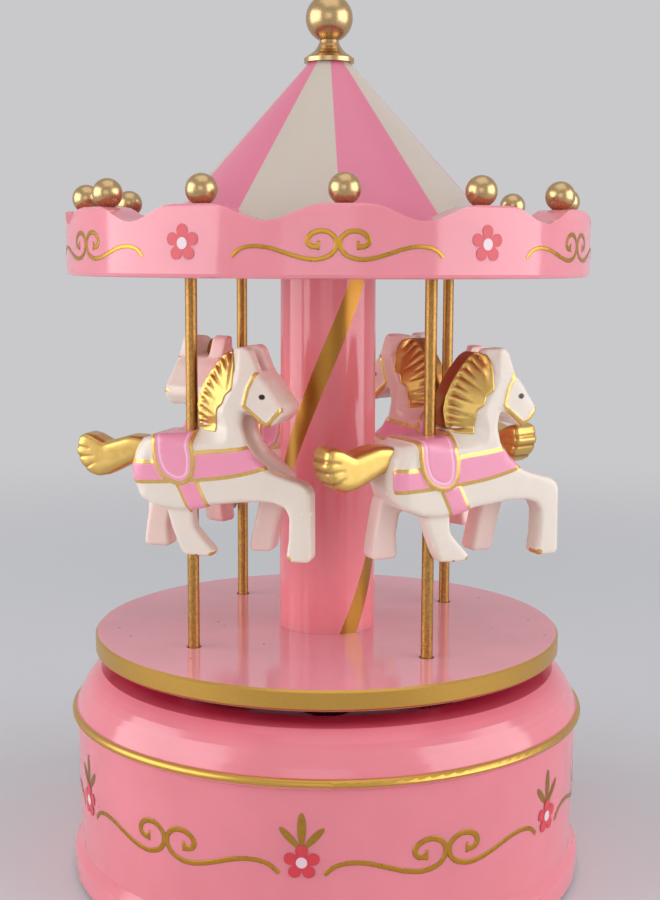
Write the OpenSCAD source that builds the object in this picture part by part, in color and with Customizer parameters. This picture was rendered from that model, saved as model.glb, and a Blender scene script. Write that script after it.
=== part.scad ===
// Carousel music box: a winding base with an 18-note movement, and a turning
// platform with a striped roof and four horses that rise and fall on their rods.
// Millimetres, +Z up, origin on the table under the centre of the base.

/* [Base] */
// Radius of the base's side wall
wall_r = 49.2; // [47.5:0.1:55]
// Thickness of the moulded plastic walls
wall_t = 2.2; // [1.6:0.1:3]
// Height of the base's shoulder above the table
base_h = 41; // [41:0.5:60]
// Radius of the shoulder's top edge
shoulder_r = 45; // [43.5:0.5:46.5]
// Height of the foot band
foot_h = 5; // [3:0.5:10]
// How far the foot band stands out from the wall
foot_out = 1.4; // [0.5:0.1:3]
// Depth of the bead below the shoulder's top edge
bead_drop = 8.1; // [7:0.1:10]
// Height of the bead
bead_h = 2; // [1:0.1:3]
// How far the bead stands out from the wall
bead_out = 1.5; // [1:0.1:2.5]
// Radius of the well that holds the cam track
well_r = 38; // [36.5:0.1:39.5]
// Depth of the well
well_depth = 11; // [11:0.1:12]
// Height of the rubber foot pads
pad_h = 1; // [0.6:0.1:2]
// Diameter of the rubber foot pads
pad_d = 9; // [6:0.5:12]
// Distance from the wall's inside to the centres of the screw pillars and foot pads
pillar_inset = 7; // [6:0.5:8]
// Width of the sound slots in the bottom cover
slot_w = 5.6; // [4:0.1:7]
// Angle of the first screw pillar
pillar_angle = 60; // [50:1:70]

/* [Platform and column] */
// Gap between the shoulder and the platform
platform_gap = 3.2; // [2:0.1:5]
// Radius of the turning platform
platform_r = 46; // [43:0.5:50]
// Height of the platform's edge
platform_t = 3.8; // [3:0.1:6]
// Radius of the column at the platform
column_r = 9.5; // [8:0.1:10.5]
// How much the column narrows towards the canopy
column_draft = 0.2; // [0:0.05:0.6]
// Clear height between the platform and the canopy's lower edge
clear_h = 69.3; // [66:0.1:85]

/* [Rods and horses] */
// Diameter of the horse rods
rod_d = 2.2; // [1.8:0.1:3]
// Radial gap round a rod in its guide holes
rod_gap = 0.32; // [0.1:0.01:0.4]
// Distance of the rods from the axis
rod_ring_r = 31.05; // [30:0.05:32]
// Angle of the rear right rod
rod_angle = 36.05; // [30:0.05:45]
// Rise and fall of the horses
lift = 4.5; // [2:0.1:5]
// Height of the raised hooves above the platform
hoof_h = 18.5; // [10:0.1:24]
// Thickness of a horse
horse_w = 12.8; // [8:0.1:14]
// Thickness of a horse's tail
tail_w = 6.4; // [4:0.1:8]
// Radial gap of the press fit between horse and rod
press_gap = 0.02; // [0.01:0.01:0.05]

/* [Canopy] */
// Outer radius of the canopy rim
rim_r = 50.2; // [47:0.1:54]
// Width of the rim from front to back
rim_w = 6.6; // [6.6:0.1:8]
// Height of the rim's crests above its lower edge
crest_h = 12.1; // [10:0.1:16]
// Depth of the valleys between the crests
valley_h = 2.8; // [1:0.1:4]
// Number of crests round the rim
crests = 12; // [8:1:14]
// Angle of the crest next to the front
crest_angle = -87; // [-92:0.5:-82]
// Flat width of each crest
crest_flat = 6.4; // [6:0.1:8]
// Diameter of the balls on the crests
ball_d = 5.4; // [4:0.1:5.8]
// Thickness of the canopy ceiling
ceiling_t = 1.8; // [1.4:0.1:2.5]
// Radius of the roof where it meets the ceiling
roof_r = 38.3; // [37:0.1:40]
// Radius lost by the roof for each millimetre of height
roof_run = 0.905; // [0.85:0.005:0.98]
// Thickness of the roof shell
roof_t = 1.6; // [1.2:0.1:2]
// Radius of the roof where the finial sits
roof_top_r = 4; // [3.5:0.1:5]
// Diameter of the finial's ball
finial_d = 9; // [7:0.5:12]

/* [Movement] */
// Diameter of the winding arbor
arbor_d = 4; // [3.6:0.1:5]
// Diameter of the rod that ties platform, column and finial together
tie_d = 3; // [2.4:0.1:3]
// Running gap round a shaft
run_gap = 0.04; // [0.02:0.01:0.08]
// Radius of the pinned cylinder
cylinder_r = 5.6; // [5:0.1:5.7]
// Clear space between the end of the movement and the wall's inside
movement_gap = 5.35; // [5.3:0.05:6]
// Number of notes, which is the number of comb teeth
notes = 18; // [12:1:18]
// Diameter of the gear arbors
pivot_d = 1.6; // [1.2:0.1:1.8]
// Radius of the spring housing
barrel_r = 10.2; // [9:0.1:10.4]
// Height of the spring housing
barrel_h = 13; // [11:0.1:13]

/* [Hidden] */
$fn = 96;
eps = 0.01;

wall_in = wall_r - wall_t;
pillar_ring_r = wall_in - pillar_inset;

// Heights of the main seats, from the table up
floor_top = base_h - well_depth;
floor_t = wall_t + 0.2;
floor_under = floor_top - floor_t;
cover_t = 2;
cover_z = pad_h + 0.4;
platform_under = base_h + platform_gap;
platform_top = platform_under + platform_t;
rim_z = platform_top + clear_h;
lip_t = 0.7;
ceiling_z = rim_z + lip_t;
ceiling_top = ceiling_z + ceiling_t;
crest_z = rim_z + crest_h;
roof_h = (roof_r - roof_top_r) / roof_run;
roof_top = ceiling_top + roof_h;

// Rods: horse 1 front left, 2 front right, 3 rear right, 4 rear left
rod_angles = [rod_angle - 180, rod_angle - 90, rod_angle, rod_angle + 90];
horse_headings = [-15, 25, 133, 236];
rod_hole_d = rod_d + 2 * rod_gap;
boss_d = rod_hole_d + 2.8;
cam_gap = 0.15;
cam_valley_z = floor_top + 3;
cam_crest_z = cam_valley_z + lift;
rod_z = cam_crest_z + cam_gap;
rod_top = ceiling_top + 4;
guide_h = 2.2;

// Movement: everything hangs under the bedplate
bedplate_t = 2.6;
bedplate_z = floor_under - bedplate_t;
gear_m = 0.5;
drive_teeth = 48;
cylinder_pinion_teeth = 16;
cylinder_wheel_teeth = 22;
governor_pinion_teeth = 8;
worm_wheel_teeth = 20;
drive_r = gear_m * drive_teeth / 2;
pinion_r = gear_m * cylinder_pinion_teeth / 2;
wheel_r = gear_m * cylinder_wheel_teeth / 2;
governor_pinion_r = gear_m * governor_pinion_teeth / 2;
worm_wheel_r = gear_m * worm_wheel_teeth / 2;
worm_r = 1.5;
addendum = 0.7 * gear_m;
dedendum = 1.1 * gear_m;
tooth_w = 0.9 * gear_m;
tip_w = 0.5 * gear_m;
drive_disc_t = 1.2;
drive_face = 1.3;
drive_disc_z = bedplate_z - 0.6 - drive_disc_t;
mesh_z = drive_disc_z - dedendum;
shaft_z = mesh_z - pinion_r;
lug_t = 1;
cylinder_x = drive_r + drive_face / 2 + 2;
wheel_t = 1.4;
frame_t = 0.9;
worm_wheel_t = 1.6;
end_lug_x = wall_in - movement_gap - lug_t;
worm_wheel_x = end_lug_x - 1.1 - worm_wheel_t;
frame_x = worm_wheel_x - 1.2 - frame_t;
wheel_x = frame_x - 0.6 - wheel_t;
cylinder_end = wheel_x - 0.8;
cylinder_len = cylinder_end - cylinder_x;
governor_y = -(wheel_r + governor_pinion_r);
worm_x = worm_wheel_x + worm_wheel_t / 2;
worm_y = governor_y - worm_wheel_r - worm_r;
worm_pitch = PI * gear_m;
worm_len = 6.4;
worm_lug_gap = 1.3;
barrel_top = mesh_z - addendum - 0.6;
barrel_z = barrel_top - barrel_h;
comb_t = 0.9;
comb_tip_y = cylinder_r + 0.75;
comb_heel_y = comb_tip_y + 7.5;
comb_back_y = comb_heel_y + 5;
note_pitch = (cylinder_len - 1.6) / notes;
post_r = 16.5;
post_d = 3.2;
movement_screw_places = [[-15, 12], [-15, -12], [20.5, 13]];
comb_screw_x = [cylinder_x + 4.5, cylinder_end - 4.5];

// Small screws
screw_d = 2.2;
head_d = 4.2;
head_h = 1.2;
thread_gap = 0.02;

// Points of a convex arc from a to b that bulges by the given height
function arc_points(a, b, bulge, steps) = [
    for (i = [0:steps])
        let (
            t = i / steps,
            d = b - a,
            n = [d[1], -d[0]] / norm(d)
        )
        a + d * t + n * bulge * 4 * t * (1 - t)
];

function unit(v) = v / norm(v);

// Outline moved inwards by d; the points run anticlockwise
function inset(points, d) = [
    for (i = [0:len(points) - 1])
        let (
            n = len(points),
            p = points[i],
            e1 = unit(p - points[(i + n - 1) % n]),
            e2 = unit(points[(i + 1) % n] - p),
            n1 = [-e1[1], e1[0]],
            n2 = [-e2[1], e2[0]],
            m = unit(n1 + n2)
        )
        p + m * d / max(0.6, m * n1)
];

// Cross-section of a spur gear with one tooth centred at the given angle
function gear_points(teeth, angle) = [
    for (i = [0:teeth - 1])
        for (corner = [[-1, 0], [-1, 1], [1, 1], [1, 0]])
            let (
                r = gear_m * teeth / 2 + (corner[1] == 1 ? addendum : -dedendum),
                w = corner[1] == 1 ? tip_w : tooth_w * 1.25,
                a = angle + 360 * i / teeth + corner[0] * asin(w / 2 / r)
            )
            r * [cos(a), sin(a)]
];

// Slab cut from an outline in the XZ plane, its edges rounded in three fine steps
module slab(points, y0, y1, edge) {
    for (layer = [[0, 1], [0.2, 0.4], [0.6, 0]])
        translate([0, y1 - edge * layer[1], 0]) rotate([90, 0, 0])
            linear_extrude(y1 - y0 - 2 * edge * layer[1]) polygon(inset(points, edge * layer[0]));
}

module at_rod(i) {
    rotate(rod_angles[i - 1]) translate([rod_ring_r, 0, 0]) children();
}

module at_pillars() {
    for (i = [0:2]) rotate(pillar_angle + 120 * i) translate([pillar_ring_r, 0, 0]) children();
}

module at_crests() {
    for (i = [0:crests - 1]) rotate(crest_angle + 360 * i / crests) children();
}

// Stands a gear or shaft drawn along Z on the X axis, at the height of the cylinder
module along_x(x, y = 0) {
    translate([x, y, shaft_z]) rotate([0, 90, 0]) children();
}

// ---------------------------------------------------------------- base

module base_shell() {
    bead_z = base_h - bead_drop;
    shoulder_z = bead_z + bead_h / 2;
    well_out = well_r + wall_t;
    outside = concat(
        [[wall_r + foot_out, cover_z - 0.4], [wall_r + foot_out, foot_h], [wall_r, foot_h + foot_out]],
        arc_points([wall_r + 0.5, shoulder_z], [shoulder_r, base_h], 0.7, 6)
    );
    inside = [
        [well_r, base_h], [well_r, floor_top], [arbor_d / 2 + 3, floor_top],
        [arbor_d / 2 + 3, floor_under], [well_out, floor_under], [well_out, base_h - wall_t - 1],
        [shoulder_r - wall_t, base_h - wall_t - 1], [wall_in, shoulder_z - 1], [wall_in, cover_z - 0.4]
    ];
    color("pink") difference() {
        union() {
            rotate_extrude() polygon(concat(outside, inside));
            rotate_extrude() translate([wall_r + bead_out - bead_h / 2, bead_z]) circle(d = bead_h, $fn = 24);
            rotate_extrude() translate([wall_r - 0.5, bead_z - bead_h / 2 + 0.3])
                square([bead_out - bead_h / 2 + 0.5, bead_h - 0.6]);
            at_pillars() intersection() {
                translate([0, 0, cover_z + cover_t]) cylinder(d = 6.4, h = floor_top - 0.5 - cover_z - cover_t);
                translate([-20, -20, 0]) cube([40, 40, floor_under + 0.5]);
            }
        }
        at_pillars() translate([0, 0, cover_z]) cylinder(d = screw_d + 2 * thread_gap, h = 13);
        for (p = movement_screw_places)
            translate([p[0], p[1], floor_under - 1]) cylinder(d = screw_d + 2 * thread_gap, h = floor_t + 2);
    }
}

module bottom_cover() {
    color("hotpink") difference() {
        translate([0, 0, cover_z]) cylinder(r = wall_in - 0.2, h = cover_t);
        at_pillars() {
            cylinder(d = screw_d + 0.4, h = 10);
            translate([0, 0, cover_z - 1]) cylinder(d = head_d + 0.4, h = head_h + 1);
        }
        for (i = [0:2]) rotate(pillar_angle + 60 + 120 * i) translate([pillar_ring_r, 0, 0])
            translate([0, 0, cover_z - 1]) cylinder(d = pad_d + 0.1, h = 1.4);
        // Ring of sound slots under the movement
        for (i = [0:7]) rotate(45 * i) radial_slot(14, 25, slot_w);
    }
}

// Radial slot with round ends, from one radius to the other
module radial_slot(r0, r1, w) {
    translate([r0 + w / 2, -w / 2, 0]) cube([r1 - r0 - w, w, 10]);
    for (r = [r0 + w / 2, r1 - w / 2]) translate([r, 0, 0]) cylinder(d = w, h = 10);
}

module cover_screws() {
    color("silver") at_pillars() translate([0, 0, cover_z]) {
        cylinder(d = head_d, h = head_h);
        cylinder(d = screw_d, h = 10);
    }
}

module foot_pads() {
    color("dimgray") for (i = [0:2]) rotate(pillar_angle + 60 + 120 * i)
        translate([pillar_ring_r, 0, 0]) cylinder(d = pad_d, h = cover_z + 0.4);
}

// Wavy track: the rods ride over its crests as the platform turns
module horse_cam() {
    cam_in = rod_ring_r - 3.2;
    cam_out = rod_ring_r + 3.2;
    steps = 96;
    rings = [
        for (i = [0:steps - 1])
            let (
                a = 360 * i / steps,
                z = cam_valley_z + lift * (1 - cos(4 * (a - rod_angle))) / 2
            )
            for (p = [[cam_in, floor_top], [cam_out, floor_top], [cam_out, z], [cam_in, z]])
                [p[0] * cos(a), p[0] * sin(a), p[1]]
    ];
    faces = [
        for (i = [0:steps - 1])
            for (k = [0:3])
                let (
                    j = (i + 1) % steps,
                    a = 4 * i + k,
                    b = 4 * i + (k + 1) % 4,
                    c = 4 * j + (k + 1) % 4,
                    d = 4 * j + k
                )
                for (f = [[a, b, c], [a, c, d]]) f
    ];
    color("white") polyhedron(points = rings, faces = faces, convexity = 8);
}

// ---------------------------------------------------------------- movement, fixed pieces

module bedplate() {
    x0 = -post_r - 4;
    x1 = end_lug_x + lug_t + 0.3;
    y0 = worm_y - 2.6;
    y1 = comb_back_y + 1;
    color("silver") difference() {
        union() {
            intersection() {
                translate([x0, y0, bedplate_z]) cube([x1 - x0, y1 - y0, bedplate_t]);
                cylinder(r = wall_in - 0.8, h = floor_under);
            }
            // Cast block that carries the comb
            translate([cylinder_x, comb_heel_y + 0.5, shaft_z + comb_t / 2])
                cube([cylinder_len, comb_back_y - comb_heel_y - 0.5, bedplate_z - shaft_z - comb_t / 2 + eps]);
            // Inner bearing lug of the cylinder
            translate([cylinder_x - 0.4 - lug_t, -2.2, shaft_z - 2.2])
                cube([lug_t, 4.4, bedplate_z - shaft_z + 2.2 + eps]);
        }
        translate([0, 0, bedplate_z - 1]) cylinder(d = arbor_d + 2 * run_gap, h = bedplate_t + 2);
        along_x(cylinder_x - 2) cylinder(d = pivot_d + 2 * run_gap, h = 3);
        for (x = comb_screw_x) translate([x, comb_heel_y + 3, shaft_z])
            cylinder(d = screw_d + 2 * thread_gap, h = 4.5);
        for (p = movement_screw_places)
            translate([p[0], p[1], bedplate_z - 1]) cylinder(d = screw_d + 2 * thread_gap, h = bedplate_t + 2);
        for (a = [90, 180, 270]) rotate(a) translate([post_r, 0, bedplate_z - 1])
            cylinder(d = 1.6, h = bedplate_t);
    }
}

module movement_screws() {
    color("silver") for (p = movement_screw_places) translate([p[0], p[1], 0]) {
        translate([0, 0, floor_top]) cylinder(d = head_d, h = head_h);
        translate([0, 0, bedplate_z]) cylinder(d = screw_d, h = floor_top - bedplate_z + eps);
    }
}

module spring_housing() {
    color("silver") difference() {
        union() {
            translate([0, 0, barrel_z]) cylinder(r = barrel_r, h = barrel_h);
            for (a = [90, 180, 270]) rotate(a) {
                translate([barrel_r - 1, -post_d / 2, barrel_z]) cube([post_r - barrel_r + 1, post_d, 1.6]);
                translate([post_r, 0, barrel_z]) cylinder(d = post_d, h = bedplate_z - barrel_z);
                translate([post_r, 0, bedplate_z - eps]) cylinder(d = 1.58, h = 1.5);
            }
        }
        translate([0, 0, barrel_z + 0.8]) cylinder(r = barrel_r - 0.6, h = barrel_h);
        translate([0, 0, barrel_z - 1]) cylinder(d = arbor_d + 2 * run_gap, h = 3);
    }
}

module mainspring() {
    turns = 6;
    steps = 24;
    strip_t = 0.3;
    r0 = arbor_d / 2 + 0.1;
    r1 = barrel_r - 0.6 - strip_t - 0.05;
    edge = [for (side = [0, 1]) [
        for (i = [0:turns * steps])
            let (r = r0 + (r1 - r0) * i / (turns * steps) + side * strip_t)
            r * [cos(360 * i / steps), sin(360 * i / steps)]
    ]];
    back = [for (i = [turns * steps:-1:0]) edge[0][i]];
    color("slategray") translate([0, 0, barrel_z + 1.2]) linear_extrude(barrel_h - 2.4)
        polygon(concat(edge[1], back));
}

module comb() {
    gap = 0.18;
    color("lightsteelblue") difference() {
        translate([cylinder_x + 0.8, comb_tip_y, shaft_z - comb_t / 2])
            cube([note_pitch * notes, comb_back_y - comb_tip_y, comb_t]);
        for (i = [1:notes - 1]) translate([cylinder_x + 0.8 + note_pitch * i - gap / 2, comb_tip_y - 1, 0])
            cube([gap, comb_heel_y - comb_tip_y + 1, 40]);
        for (x = comb_screw_x) translate([x, comb_heel_y + 3, 0]) cylinder(d = screw_d + 0.3, h = 40);
    }
}

module comb_screws() {
    color("silver") for (x = comb_screw_x) translate([x, comb_heel_y + 3, 0]) {
        translate([0, 0, shaft_z - comb_t / 2 - head_h]) cylinder(d = head_d - 0.4, h = head_h);
        translate([0, 0, shaft_z - comb_t / 2 - eps]) cylinder(d = screw_d, h = 4);
    }
}

// Plastic frame with the bearings of the cylinder's end, the governor wheel and the worm
module governor_frame() {
    worm_low = shaft_z - worm_len / 2 - worm_lug_gap;
    worm_high = shaft_z + worm_len / 2 + worm_lug_gap;
    color("ivory") difference() {
        union() {
            translate([frame_x, worm_y - 2, worm_low - 1]) cube([frame_t, 2 - worm_y + 2.2, bedplate_z - worm_low + 1]);
            translate([end_lug_x, governor_y - 2, shaft_z - 2]) cube([lug_t, 4, bedplate_z - shaft_z + 2]);
            translate([frame_x, governor_y - 2, bedplate_z - 0.8]) cube([end_lug_x + lug_t - frame_x, 4, 0.8]);
            translate([frame_x, worm_y - 2, worm_low - 1]) cube([worm_x + 2 - frame_x, 4, 1]);
            translate([frame_x, worm_y - 2, worm_high]) cube([worm_x + 2 - frame_x, 4, 1]);
        }
        along_x(frame_x - 1) cylinder(d = pivot_d + 2 * run_gap, h = 3);
        along_x(frame_x - 1, governor_y) cylinder(d = pivot_d + 2 * run_gap, h = 8);
        translate([worm_x, worm_y, 0]) cylinder(d = 1 + 2 * run_gap, h = bedplate_z);
    }
}

// ---------------------------------------------------------------- movement, turning pieces

module winding_arbor() {
    top = platform_top - 2;
    color("silver") difference() {
        translate([0, 0, barrel_z + 0.1]) cylinder(d = arbor_d, h = top - barrel_z - 0.1);
        translate([0, 0, top - 8]) cylinder(d = tie_d + 2 * thread_gap, h = 9);
    }
}

// Crown wheel: its teeth point down at the cylinder's pinion
module drive_wheel() {
    r0 = drive_r - drive_face / 2;
    root_w = tooth_w * 1.1;
    depth = addendum + dedendum;
    color("goldenrod") difference() {
        union() {
            translate([0, 0, drive_disc_z]) cylinder(r = drive_r + drive_face / 2, h = drive_disc_t);
            for (i = [0:drive_teeth - 1]) rotate(360 * i / drive_teeth) translate([r0, 0, drive_disc_z])
                rotate([90, 0, 90]) linear_extrude(drive_face)
                    polygon([[-root_w / 2, 0.1], [-tip_w / 2, -depth], [tip_w / 2, -depth], [root_w / 2, 0.1]]);
        }
        cylinder(d = arbor_d + 2 * thread_gap, h = 60);
    }
}

module gear(teeth, width, angle, bore = 0) {
    difference() {
        linear_extrude(width) polygon(gear_points(teeth, angle));
        if (bore > 0) translate([0, 0, -1]) cylinder(d = bore, h = width + 2);
    }
}

module cylinder_arbor() {
    x0 = drive_r - drive_face / 2 - 0.4;
    color("silver") along_x(x0) cylinder(d = pivot_d, h = frame_x + frame_t - x0);
}

module cylinder_pinion() {
    color("goldenrod") along_x(drive_r - drive_face / 2)
        gear(cylinder_pinion_teeth, drive_face, 180 + 180 / cylinder_pinion_teeth, pivot_d + 2 * thread_gap);
}

module pin_cylinder() {
    pins_per_track = 3;
    color("gold") along_x(cylinder_x) difference() {
        union() {
            cylinder(r = cylinder_r, h = cylinder_len);
            for (track = [0:notes - 1])
                for (k = [0:pins_per_track - 1])
                    rotate(15 * ((track * 7 + k * 9 + 5 * (track % 3)) % 24))
                        translate([cylinder_r - 0.3, 0, 0.8 + note_pitch * (track + 0.5)])
                            rotate([0, 90, 0]) cylinder(d = 0.4, h = 0.8, $fn = 6);
        }
        translate([0, 0, -1]) cylinder(d = pivot_d + 2 * thread_gap, h = cylinder_len + 2);
    }
}

module cylinder_wheel() {
    color("goldenrod") along_x(wheel_x)
        gear(cylinder_wheel_teeth, wheel_t, -90, pivot_d + 2 * thread_gap);
}

module governor_arbor() {
    color("goldenrod") {
        along_x(wheel_x, governor_y) gear(governor_pinion_teeth, wheel_t, 90 + 180 / governor_pinion_teeth);
        along_x(wheel_x + wheel_t - eps, governor_y)
            cylinder(d = pivot_d, h = end_lug_x + lug_t - wheel_x - wheel_t);
    }
}

module worm_wheel() {
    color("white") along_x(worm_wheel_x, governor_y)
        gear(worm_wheel_teeth, worm_wheel_t, -90, pivot_d + 2 * thread_gap);
}

module governor_worm() {
    core_r = worm_r - 0.1;
    throw = 0.35;
    turns = worm_len / worm_pitch;
    low = shaft_z - worm_len / 2;
    phase = 90 - 360 * (worm_len / 2) / worm_pitch;
    color("silver") translate([worm_x, worm_y, 0]) {
        translate([0, 0, low]) linear_extrude(worm_len, twist = -360 * turns, slices = ceil(turns * 14), segments = 12)
            rotate(phase + 180) translate([throw, 0]) circle(r = core_r, $fn = 12);
        translate([0, 0, low - worm_lug_gap - 1.6]) cylinder(d = 1, h = worm_len + 2 * worm_lug_gap + 2.4);
    }
}

module air_brake() {
    hub_z = shaft_z - worm_len / 2 - worm_lug_gap - 1.4;
    color("dimgray") translate([worm_x, worm_y, hub_z - 2.4]) difference() {
        union() {
            cylinder(d = 2.6, h = 2.2);
            translate([-3.6, -0.3, 0]) cube([7.2, 0.6, 2.2]);
        }
        translate([0, 0, 1.9]) cylinder(d = 1 + 2 * thread_gap, h = 3);
    }
}

// ---------------------------------------------------------------- platform, column and canopy

module platform() {
    plate_t = platform_t - 1.4;
    hub_r = 6;
    color("pink") difference() {
        union() {
            translate([0, 0, platform_top - plate_t]) cylinder(r = platform_r - 0.5, h = plate_t);
            rotate_extrude() polygon([
                [platform_r - 2.4, platform_under], [platform_r - 0.5, platform_under],
                [platform_r, platform_under + 0.5], [platform_r, platform_top - 0.4],
                [platform_r - 0.4, platform_top], [platform_r - 2.4, platform_top]
            ]);
            translate([0, 0, platform_under - 3]) cylinder(r = hub_r, h = plate_t + 4);
            for (i = [1:4]) at_rod(i) translate([0, 0, platform_under - 1]) cylinder(d = boss_d, h = 3);
            for (a = [0:60:300]) rotate(a) translate([hub_r - 1, -0.6, platform_under])
                cube([platform_r - hub_r - 1, 1.2, 2]);
        }
        translate([0, 0, 0]) cylinder(d = arbor_d + 2 * thread_gap, h = platform_top - 2);
        cylinder(d = tie_d + 2 * thread_gap, h = platform_top + 1);
        for (i = [1:4]) at_rod(i) cylinder(d = rod_hole_d, h = platform_top + 1);
    }
}

module column() {
    h = ceiling_z - platform_top;
    color("salmon") translate([0, 0, platform_top]) difference() {
        cylinder(r1 = column_r, r2 = column_r - column_draft, h = h);
        translate([0, 0, 2]) cylinder(r = column_r - column_draft - wall_t, h = h - 4);
        translate([0, 0, -1]) cylinder(d = tie_d + 2 * thread_gap, h = h + 2);
    }
}

module tie_rod() {
    low = platform_top - 10;
    color("silver") translate([0, 0, low]) cylinder(d = tie_d, h = roof_top + 3.5 - low);
}

module ceiling() {
    color("pink") difference() {
        union() {
            translate([0, 0, ceiling_z]) cylinder(r = rim_r - rim_w - 0.1, h = ceiling_t);
            for (i = [1:4]) at_rod(i) translate([0, 0, ceiling_z]) cylinder(d = boss_d, h = ceiling_t + guide_h);
            translate([0, 0, ceiling_z]) cylinder(r = 5, h = ceiling_t + guide_h);
        }
        cylinder(d = tie_d + 2 * thread_gap, h = roof_top);
        for (i = [1:4]) at_rod(i) cylinder(d = rod_hole_d, h = roof_top);
    }
}

// Scalloped ring: twelve flat crests with curved valleys between them
module canopy_rim() {
    r_in = rim_r - rim_w;
    valley_w = 2 * rim_r * sin(180 / crests) - crest_flat;
    steps = 12;
    curve = [
        for (i = [0:steps])
            let (x = valley_w * (i / steps - 0.5))
            [x, crest_z - valley_h * (1 + cos(360 * x / valley_w)) / 2]
    ];
    color("pink") difference() {
        rotate_extrude() polygon([
            [r_in - 1.4, rim_z], [rim_r - 0.7, rim_z], [rim_r - 0.2, rim_z + 0.2], [rim_r, rim_z + 0.7],
            [rim_r, crest_z - 0.4], [rim_r - 0.4, crest_z], [r_in, crest_z], [r_in, rim_z + lip_t],
            [r_in - 1.4, rim_z + lip_t]
        ]);
        // Valleys
        at_crests() rotate(180 / crests) translate([r_in - 4, 0, 0]) rotate([90, 0, 90]) linear_extrude(rim_w + 8)
            polygon(concat([[valley_w / 2, crest_z + 5], [-valley_w / 2, crest_z + 5]], curve));
        // Hollow of the moulding, open below
        rotate_extrude() translate([r_in + 1.6, rim_z - 1]) square([rim_w - 3.6, crest_h - valley_h - 0.8]);
        at_crests() translate([ball_ring_r(), 0, crest_z - 6]) cylinder(d = 1.64, h = 10);
    }
}

function ball_ring_r() = rim_r - rim_w / 2 - 0.4;

module rim_balls() {
    sunk = 0.3;
    color("goldenrod") at_crests() translate([ball_ring_r(), 0, crest_z]) {
        intersection() {
            translate([0, 0, ball_d / 2 - sunk]) sphere(d = ball_d);
            translate([-ball_d, -ball_d, 0]) cube(2 * ball_d);
        }
        translate([0, 0, -1.6]) cylinder(d = 1.6, h = 1.6 + ball_d / 3);
    }
}

module roof() {
    base_lip = 1.2;
    slope_t = roof_t * sqrt(1 + roof_run * roof_run);
    color("hotpink") difference() {
        rotate_extrude() polygon([
            [roof_r - slope_t, ceiling_top], [roof_r, ceiling_top], [roof_top_r, roof_top],
            [0, roof_top], [0, roof_top - 2.4], [roof_top_r + 2.4 * roof_run - slope_t, roof_top - 2.4]
        ]);
        cylinder(d = tie_d + 2 * thread_gap, h = roof_top + 1);
    }
}

module finial() {
    color("goldenrod") difference() {
        union() {
            rotate_extrude() polygon(concat(
                [[0, roof_top], [roof_top_r + 0.8, roof_top], [roof_top_r + 0.8, roof_top + 0.8]],
                arc_points([roof_top_r, roof_top + 1.4], [1.7, roof_top + 4.6], -0.5, 5),
                [[0, roof_top + 4.6]]
            ));
            translate([0, 0, roof_top + 3.8 + finial_d / 2]) sphere(d = finial_d);
        }
        translate([0, 0, roof_top - 1]) cylinder(d = tie_d + 2 * thread_gap, h = 4.6);
    }
}

// ---------------------------------------------------------------- horses and rods

module horse_rod(i) {
    color("peru") at_rod(i) {
        translate([0, 0, rod_z + rod_d / 2]) cylinder(d = rod_d, h = rod_top - rod_z - rod_d / 2, $fn = 32);
        translate([0, 0, rod_z + rod_d / 2]) sphere(d = rod_d, $fn = 32);
    }
}

// Outlines of the horse, seen from its right side: x forward from the rod, z up from the hooves
torso_points = [
    [-8.6, 21.2], [-9.8, 18.6], [-10.2, 14], [-9.3, 11.8], [-7, 9.8], [-3.9, 8.7], [2.3, 8.9],
    [6.5, 9.8], [11.8, 10.4], [16.6, 10.9], [18.8, 12.6], [18.4, 15], [16.1, 16.4], [13.4, 18.6],
    [11.6, 21.4], [10.9, 24.4], [11.6, 27], [13.6, 25.6], [15.8, 24.3], [17.6, 25], [18.9, 26.6],
    [18.4, 28.4], [15.6, 32.2], [14.2, 34.4], [12.6, 37.6], [11.6, 38], [10.2, 37.6], [8.4, 36.6],
    [5.6, 34], [3.4, 30.6], [2.2, 27], [1.8, 24], [2, 22.2], [-5.4, 21.6]
];
mane_points = [
    [8.4, 37], [5.5, 34.9], [3.2, 32.3], [1.5, 28.7], [1, 24.4], [6.6, 24], [6.5, 28.4], [7.8, 29.7],
    [9.6, 31.2]
];
tail_points = [
    [-8.6, 21.2], [-11.6, 21.5], [-14.2, 20.7], [-16.4, 20.1], [-18.7, 21.3], [-20.4, 21.7],
    [-21.8, 20.8], [-22.3, 18.6], [-22, 16.9], [-20.6, 14.6], [-18.2, 13.6], [-15.7, 13.9],
    [-13.2, 15.2], [-9.6, 16.8]
];
near_front_points = [
    [13, 14.8], [13, 10.6], [17.2, 10.6], [18.5, 9.2], [18.4, 0.6], [19, 0], [24, 0], [24.5, 0.6],
    [24.6, 12.8], [23.4, 14.4]
];
near_rear_points = [
    [-4.4, 11.5], [-3.8, 8], [-2.6, 4], [-0.6, 0.7], [0.6, 0], [5.4, 0], [6, 0.9], [4.4, 3], [2.9, 7.4],
    [3.4, 11.5]
];
far_front_points = [
    [12.4, 13], [12.4, 9], [10.2, 0.6], [10.8, 0], [14.4, 0], [15.4, 4], [17, 9.4], [16.8, 13]
];
far_rear_points = [
    [-9.2, 14], [-10.4, 8], [-11.4, 0.6], [-10.8, 0], [-7, 0], [-6.5, 4], [-4.9, 8.2], [-3, 10], [-3, 14]
];
blanket_points = [
    [-5.6, 21.9], [-5.5, 17.4], [-3.8, 14.2], [-1.4, 12.9], [1, 13.6], [2.5, 16], [2.9, 22.3]
];

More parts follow.
